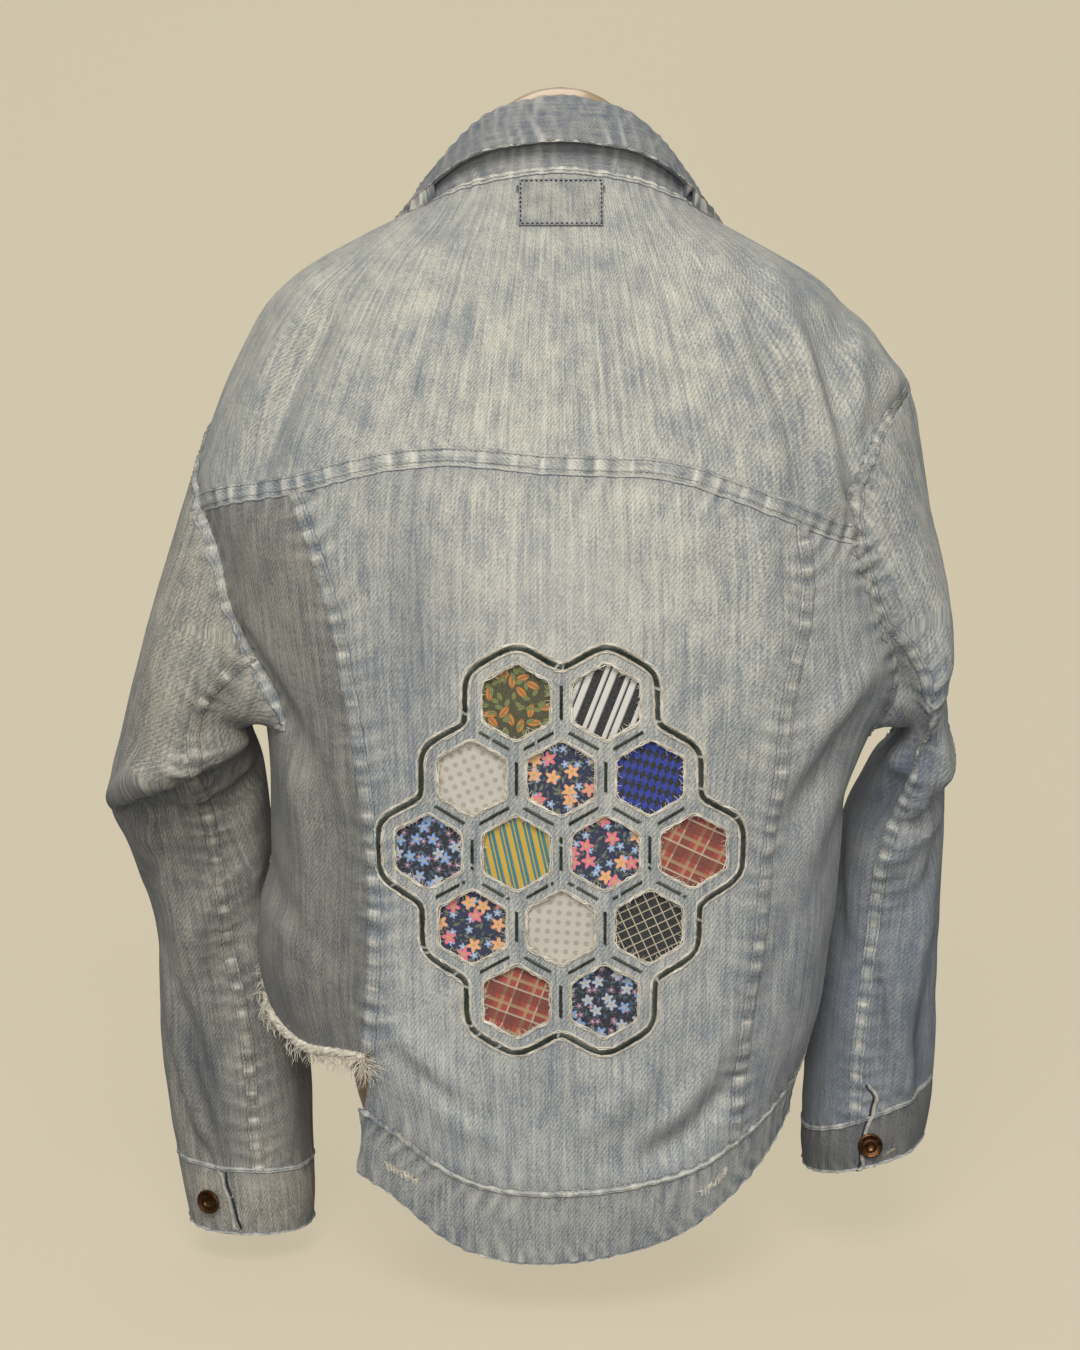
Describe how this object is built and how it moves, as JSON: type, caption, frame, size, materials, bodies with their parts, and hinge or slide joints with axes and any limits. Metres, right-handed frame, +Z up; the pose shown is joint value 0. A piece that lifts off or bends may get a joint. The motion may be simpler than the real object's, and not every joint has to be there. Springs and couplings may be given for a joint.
{
  "type": "denim jacket on a dress form",
  "caption": "Oversized denim jacket with a cropped, frayed side, a hexagon patchwork back and empty sleeves, standing open at the hem on a headless, armless dress form.",
  "frame": {"origin": "on the dress form's flat base, straight below the middle of its neck", "axes": "+Z up, +Y out of the jacket's back, +X towards the wearer's left sleeve"},
  "size_m": [0.5636, 0.2606, 0.7875],
  "materials": {
    "denim": "matte, faded twill",
    "sleeve_denim": "matte, faded twill",
    "band_denim": "matte, faded twill, doubled",
    "dark_denim": "matte twill",
    "frayed_cotton": "matte, loose threads",
    "patch_cotton": "matte printed cotton in small motifs",
    "bronze": "dull bronze",
    "form_shell": "gloss"
  },
  "bodies": {
    "root": {"back_centre": "denim", "back_side_left": "denim", "back_side_right": "denim", "back_yoke": "denim", "front_left": "denim", "front_right": "denim", "button_stand": "denim", "buttonhole_stand": "band_denim", "hem_band": "band_denim", "collar_stand": "band_denim", "collar_leaf": "band_denim", "neck_patch": "dark_denim", "top_sleeve_left": "sleeve_denim", "under_sleeve_left": "sleeve_denim", "cuff_left": "band_denim", "cuff_button_left": "bronze", "top_sleeve_right": "sleeve_denim", "under_sleeve_right": "sleeve_denim", "cuff_right": "band_denim", "cuff_button_right": "bronze", "raw_edge_back": "frayed_cotton", "raw_edge_front": "frayed_cotton", "front_button_1": "bronze", "front_button_2": "bronze", "front_button_3": "bronze", "front_button_4": "bronze", "front_button_5": "bronze", "front_button_6": "bronze", "window_patch_01": "patch_cotton", "window_patch_02": "patch_cotton", "window_patch_03": "patch_cotton", "window_patch_04": "patch_cotton", "window_patch_05": "patch_cotton", "window_patch_06": "patch_cotton", "window_patch_07": "patch_cotton", "window_patch_08": "patch_cotton", "window_patch_09": "patch_cotton", "window_patch_10": "patch_cotton", "window_patch_11": "patch_cotton", "window_patch_12": "patch_cotton", "window_patch_13": "patch_cotton", "window_patch_14": "patch_cotton", "dress_form": "form_shell"}
  },
  "joints": []
}
